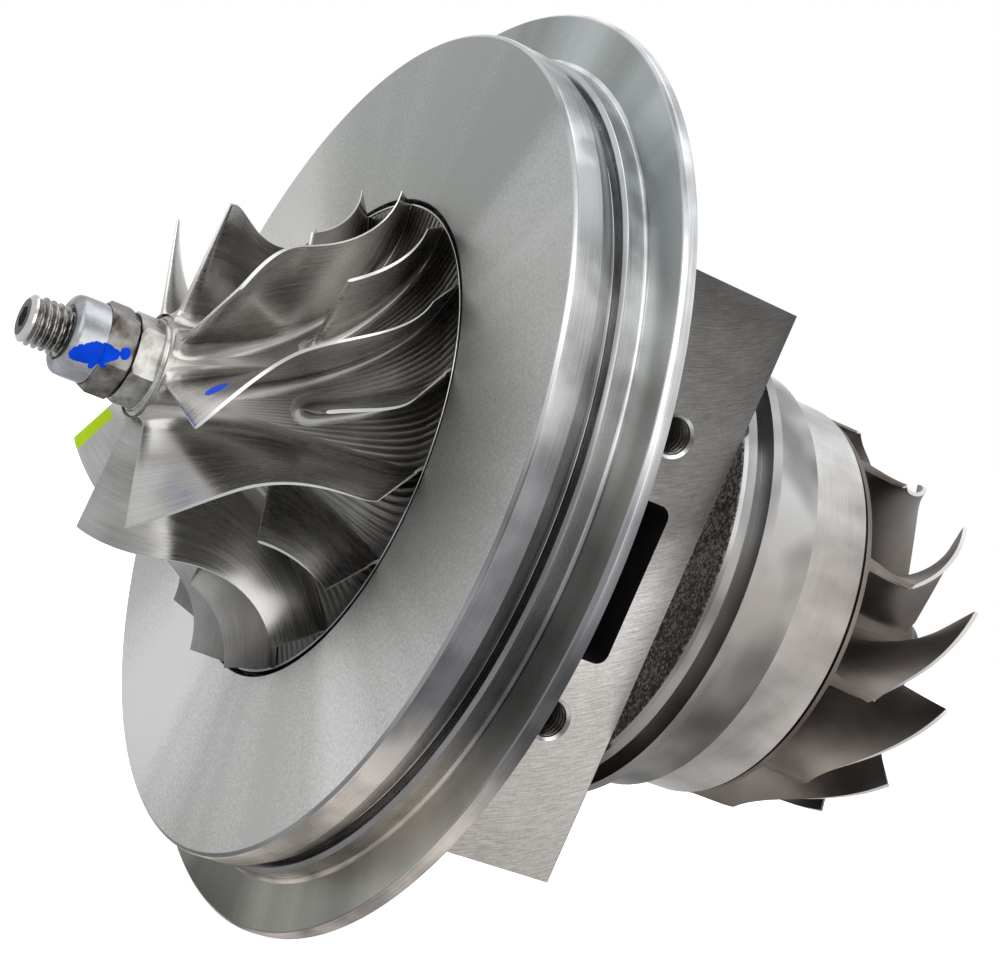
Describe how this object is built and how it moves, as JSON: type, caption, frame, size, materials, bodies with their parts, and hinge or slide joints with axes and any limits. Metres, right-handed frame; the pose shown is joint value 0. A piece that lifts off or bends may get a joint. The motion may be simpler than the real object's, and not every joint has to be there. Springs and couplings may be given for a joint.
{
  "type": "turbocharger cartridge",
  "caption": "Turbocharger cartridge: compressor and turbine wheels on one shaft, held by a stepped round backplate and a cast bearing housing with an oil drain pad.",
  "frame": {"origin": "on the shaft axis, in the plane of the backplate flange's front face, where the compressor cover seats", "axes": "+X along the shaft from the compressor to the turbine, -Y the outward normal of the oil drain pad, +Z along the pad; in service -Y points down"},
  "size_m": [0.2546, 0.2284, 0.2284],
  "materials": {
    "milled_aluminium": "milled, bright blade edges",
    "cast_nickel_alloy": "as cast, matte",
    "ground_steel": "ground, bright",
    "plain_steel": "turned",
    "turned_iron": "turned, matte face and bright rims",
    "cast_iron_housing": "as cast with machined faces",
    "turned_steel": "turned, bright",
    "dark_bolt_steel": "blackened",
    "spring_steel": "plain",
    "bearing_bronze": "machined",
    "seal_rubber": "matte"
  },
  "bodies": {
    "housing": {"backplate": "turned_iron", "backplate_bolts": "dark_bolt_steel", "backplate_washers": "dark_bolt_steel", "bearing_housing": "cast_iron_housing", "compressor_bearing_front_snap_ring": "spring_steel", "compressor_bearing_rear_snap_ring": "spring_steel", "compressor_seal_rings": "spring_steel", "heat_shield": "turned_steel", "oil_deflector": "plain_steel", "spigot_o_ring": "seal_rubber", "thrust_bearing": "bearing_bronze", "thrust_bearing_screws": "dark_bolt_steel", "turbine_bearing_front_snap_ring": "spring_steel", "turbine_bearing_rear_snap_ring": "spring_steel", "turbine_seal_ring": "spring_steel"},
    "rotor": {"shaft": "ground_steel", "compressor_wheel": "milled_aluminium", "compressor_nut": "plain_steel", "oil_slinger": "ground_steel", "thrust_collar": "ground_steel", "turbine_wheel": "cast_nickel_alloy"},
    "compressor_bush": {"compressor_journal_bearing": "bearing_bronze"},
    "turbine_bush": {"turbine_journal_bearing": "bearing_bronze"}
  },
  "joints": [
    {"name": "rotor_spin", "type": "hinge", "parent": "housing", "child": "rotor", "pos_m": [0, 0, 0], "axis": [1, 0, 0], "continuous": true},
    {"name": "compressor_bush_spin", "type": "hinge", "parent": "housing", "child": "compressor_bush", "pos_m": [0.027, 0, 0], "axis": [1, 0, 0], "continuous": true},
    {"name": "turbine_bush_spin", "type": "hinge", "parent": "housing", "child": "turbine_bush", "pos_m": [0.073, 0, 0], "axis": [1, 0, 0], "continuous": true}
  ],
  "couplings": [
    {"joint": "compressor_bush_spin", "follows": "rotor_spin", "ratio": 0.3},
    {"joint": "turbine_bush_spin", "follows": "rotor_spin", "ratio": 0.3}
  ]
}
